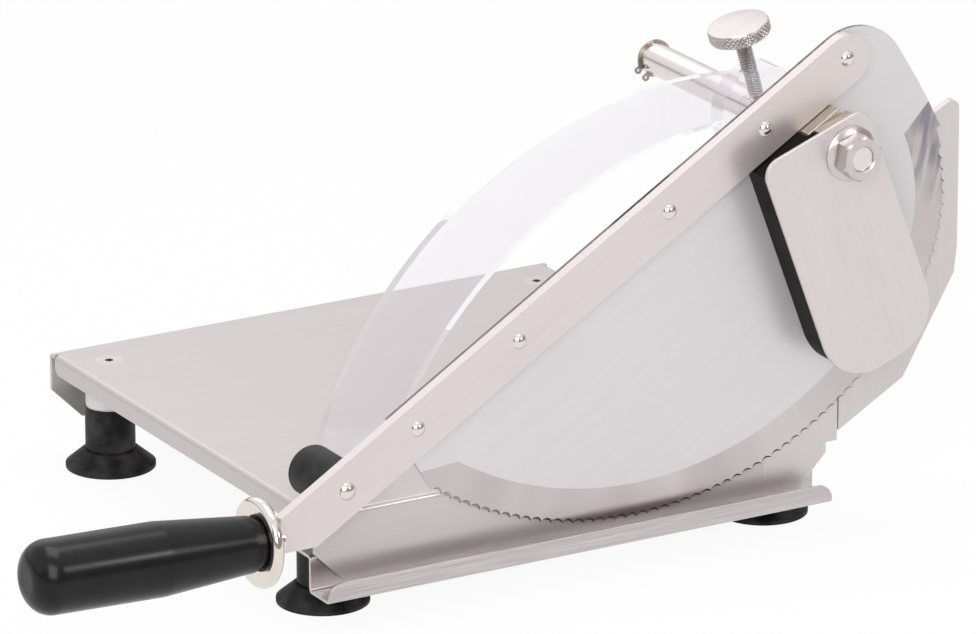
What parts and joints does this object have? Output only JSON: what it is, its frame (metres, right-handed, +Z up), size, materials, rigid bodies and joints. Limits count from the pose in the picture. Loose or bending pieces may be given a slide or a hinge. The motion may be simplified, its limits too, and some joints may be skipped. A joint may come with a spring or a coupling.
{
  "type": "hand lever bread slicer",
  "caption": "Hand lever bread slicer: a curved toothed blade on a pivoted bar with a grip swings down past a folded steel board, beside a clear hand guard clamped on the pivot shaft.",
  "frame": {"origin": "middle of the part's box on the table plane", "axes": "+X along the board towards the pivot side, +Y back over the board away from the blade, +Z up"},
  "size_m": [0.5126, 0.3104, 0.251],
  "materials": {
    "base_sheet": "fine brushed stainless sheet",
    "blade_steel": "ground stainless blade",
    "bar_steel": "brushed stainless flat bar and plate",
    "bright_steel": "turned and milled stainless steel",
    "polished": "polished metal",
    "spring_steel": "dark spring steel",
    "bronze": "plain bearing bronze",
    "foot_rubber": "black rubber",
    "buffer_rubber": "black rubber",
    "sleeve_nylon": "white nylon",
    "grip_plastic": "black plastic, satin",
    "pad_plastic": "black plastic",
    "clear_acrylic": "clear acrylic"
  },
  "bodies": {
    "frame": {"base_frame": "base_sheet", "upright_plate": "base_sheet", "crumb_gutter": "base_sheet", "foot_front_left": "foot_rubber", "foot_front_right": "foot_rubber", "foot_rear_left": "foot_rubber", "foot_rear_right": "foot_rubber", "sleeve_front_left": "sleeve_nylon", "sleeve_front_right": "sleeve_nylon", "sleeve_rear_left": "sleeve_nylon", "sleeve_rear_right": "sleeve_nylon", "foot_screws": "polished", "pivot_shaft": "bright_steel", "shaft_collar": "bright_steel", "shaft_circlip": "spring_steel", "thrust_washer": "bronze", "guide_block": "bright_steel", "guide_pad": "pad_plastic", "cover_plate": "bar_steel", "pivot_nut": "polished"},
    "lever": {"blade": "blade_steel", "lever_bar": "bar_steel", "blade_rivets": "polished", "lever_hub": "bright_steel", "hub_bush": "bronze", "stop_buffer": "buffer_rubber", "buffer_screw": "polished", "handle_tang": "bright_steel", "handle_ferrule": "polished", "handle_grip": "grip_plastic"},
    "guard": {"hand_guard": "clear_acrylic"},
    "clamp_screw": {"thumb_screw": "polished"}
  },
  "joints": [
    {"name": "lever_pivot", "type": "hinge", "parent": "frame", "child": "lever", "pos_m": [0.17684, -0.12175, 0.1963], "axis": [0, 1, 0], "range_deg": [0, 65]},
    {"name": "guard_swing", "type": "hinge", "parent": "frame", "child": "guard", "pos_m": [0.17684, -0.06275, 0.1963], "axis": [0, 1, 0], "range_deg": [0, 55]},
    {"name": "clamp_turn", "type": "hinge", "parent": "guard", "child": "clamp_screw", "pos_m": [0.17684, -0.06275, 0.1963], "axis": [-0.279, 0, 0.9603], "range_deg": [0, 360]}
  ]
}
